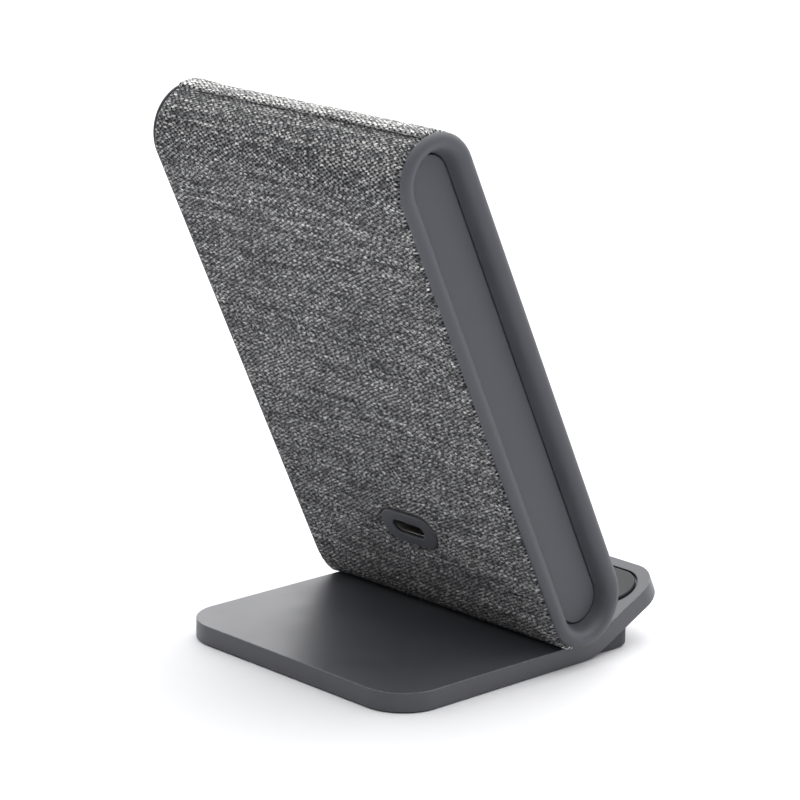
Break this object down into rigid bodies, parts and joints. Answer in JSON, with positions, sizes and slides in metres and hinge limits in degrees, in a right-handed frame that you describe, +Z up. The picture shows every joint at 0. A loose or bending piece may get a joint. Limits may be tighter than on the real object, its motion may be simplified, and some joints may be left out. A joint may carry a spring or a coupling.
{
  "type": "wireless charging stand",
  "caption": "Leaning fabric-wrapped wireless charging stand for a phone, with a bent metal base plate, a front ledge with a grip pad, grey side rims and a charging port at the back.",
  "frame": {"origin": "on the table under the middle of the outline, between the ledge's tip and the top of the back", "axes": "+Z up, -Y towards the person facing the phone side, +X to the right seen from there"},
  "size_m": [0.0736, 0.0821, 0.1157],
  "materials": {
    "satin_metal": "fine satin charcoal paint over a bent steel plate, soft reflections, pale worn line along the top edges",
    "dark_rubber": "matt dark grey rubber",
    "soft_grey": "soft-touch slate grey moulded plastic",
    "grip_silicone": "matt slate silicone",
    "heather_fabric": "heathered plain weave of charcoal and light grey yarns",
    "shell_plastic": "black moulded plastic",
    "bezel_plastic": "satin dark grey moulded plastic",
    "bare_steel": "bright nickel-plated steel",
    "black_plastic": "black moulded plastic",
    "board_green": "green solder mask on a glass-fibre board",
    "ferrite_grey": "dull grey sintered ferrite",
    "capacitor_tan": "tan ceramic with tinned ends",
    "copper_wire": "enamelled copper wire",
    "spreader_aluminium": "plain rolled aluminium sheet",
    "thermal_gel": "soft grey-blue thermal pad",
    "clear_plastic": "milky clear light-pipe plastic"
  },
  "bodies": {
    "root": {"base_plate": "satin_metal", "base_rubber_pad": "dark_rubber", "front_foot": "dark_rubber", "front_foot_strip": "dark_rubber", "side_rim_left": "soft_grey", "side_rim_right": "soft_grey", "side_panel_left": "soft_grey", "side_panel_right": "soft_grey", "ledge_grip_pad": "grip_silicone", "fabric_sleeve": "heather_fabric", "front_shell": "shell_plastic", "back_shell": "shell_plastic", "seat_saddle": "shell_plastic", "coil_carrier": "shell_plastic", "port_bezel": "bezel_plastic", "usb_c_shell": "bare_steel", "mount_bar": "bare_steel", "mount_screw_left": "bare_steel", "mount_screw_right": "bare_steel", "shell_screw_1": "bare_steel", "shell_screw_2": "bare_steel", "shell_screw_3": "bare_steel", "shell_screw_4": "bare_steel", "carrier_screw_1": "bare_steel", "carrier_screw_2": "bare_steel", "carrier_screw_3": "bare_steel", "carrier_screw_4": "bare_steel", "board_screw_1": "bare_steel", "board_screw_2": "bare_steel", "rim_screw_bottom_left": "bare_steel", "rim_screw_bottom_right": "bare_steel", "rim_screw_top_left": "bare_steel", "rim_screw_top_right": "bare_steel", "usb_c_tongue": "black_plastic", "charge_controller": "black_plastic", "power_switch_1": "black_plastic", "power_switch_2": "black_plastic", "circuit_board": "board_green", "ferrite_lower": "ferrite_grey", "ferrite_upper": "ferrite_grey", "power_inductor": "ferrite_grey", "coil_capacitor_1": "capacitor_tan", "coil_capacitor_2": "capacitor_tan", "coil_capacitor_3": "capacitor_tan", "coil_lower": "copper_wire", "coil_upper": "copper_wire", "coil_lead_lower_1": "copper_wire", "coil_lead_lower_2": "copper_wire", "coil_lead_upper_1": "copper_wire", "coil_lead_upper_2": "copper_wire", "heat_spreader": "spreader_aluminium", "thermal_pad": "thermal_gel", "light_pipe": "clear_plastic", "status_led": "clear_plastic"}
  },
  "joints": []
}
